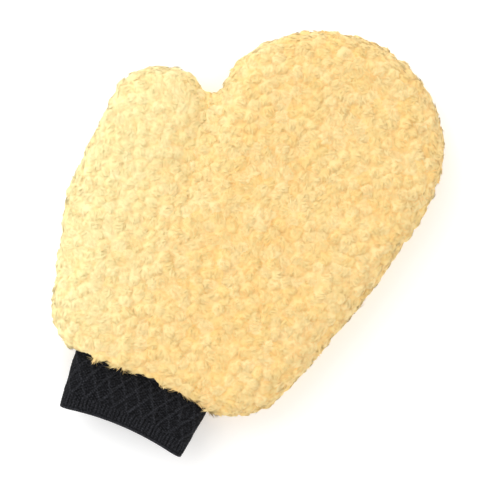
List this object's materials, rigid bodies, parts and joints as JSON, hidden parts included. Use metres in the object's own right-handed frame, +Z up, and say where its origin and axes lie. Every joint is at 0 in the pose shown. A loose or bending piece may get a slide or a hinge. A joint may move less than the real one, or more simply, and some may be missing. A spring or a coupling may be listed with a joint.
{
  "type": "wash mitt",
  "caption": "Mitten-shaped wash mitt of deep wool pile with a separate thumb and a knitted elastic cuff, lying flat, open at the wrist.",
  "frame": {"origin": "under the middle of the mitt's bounding box, on the surface that the palm side lies on", "axes": "+Y along the cuff's axis from the mouth towards the fingertips, +X towards the side away from the thumb, +Z up out of the back of the hand"},
  "size_m": [0.2294, 0.3026, 0.051],
  "materials": {
    "wool_pile": "dense curled wool pile, cream to warm yellow",
    "pelt": "pale napped skin",
    "seam_thread": "twisted cream thread",
    "cuff_knit": "near-black knit with a raised lattice and a ribbed band",
    "elastic": "covered black elastic thread"
  },
  "bodies": {
    "hand": {"back_pile": "wool_pile", "palm_pile": "wool_pile", "back_pelt": "pelt", "palm_pelt": "pelt", "heel_seam_thread": "seam_thread", "finger_seam_thread": "seam_thread"},
    "thumb": {"thumb_back_pile": "wool_pile", "thumb_palm_pile": "wool_pile", "thumb_back_pelt": "pelt", "thumb_palm_pelt": "pelt", "thumb_seam_thread": "seam_thread"},
    "cuff": {"cuff_outer_knit": "cuff_knit", "cuff_inner_knit": "cuff_knit", "cuff_hem": "cuff_knit", "elastic_thread_1": "elastic", "elastic_thread_2": "elastic", "elastic_thread_3": "elastic", "wrist_thread": "seam_thread"}
  },
  "joints": [
    {"name": "thumb_fold", "type": "hinge", "parent": "hand", "child": "thumb", "pos_m": [-0.03956, 0.01979, 0.0255], "axis": [-0.9823, -0.1874, 0], "range_deg": [-25, 45], "stiffness_Nm_per_rad": 0.08},
    {"name": "cuff_fold", "type": "hinge", "parent": "hand", "child": "cuff", "pos_m": [-0.01856, -0.10721, 0.0255], "axis": [1, 0, 0], "range_deg": [-40, 40], "stiffness_Nm_per_rad": 0.04}
  ]
}
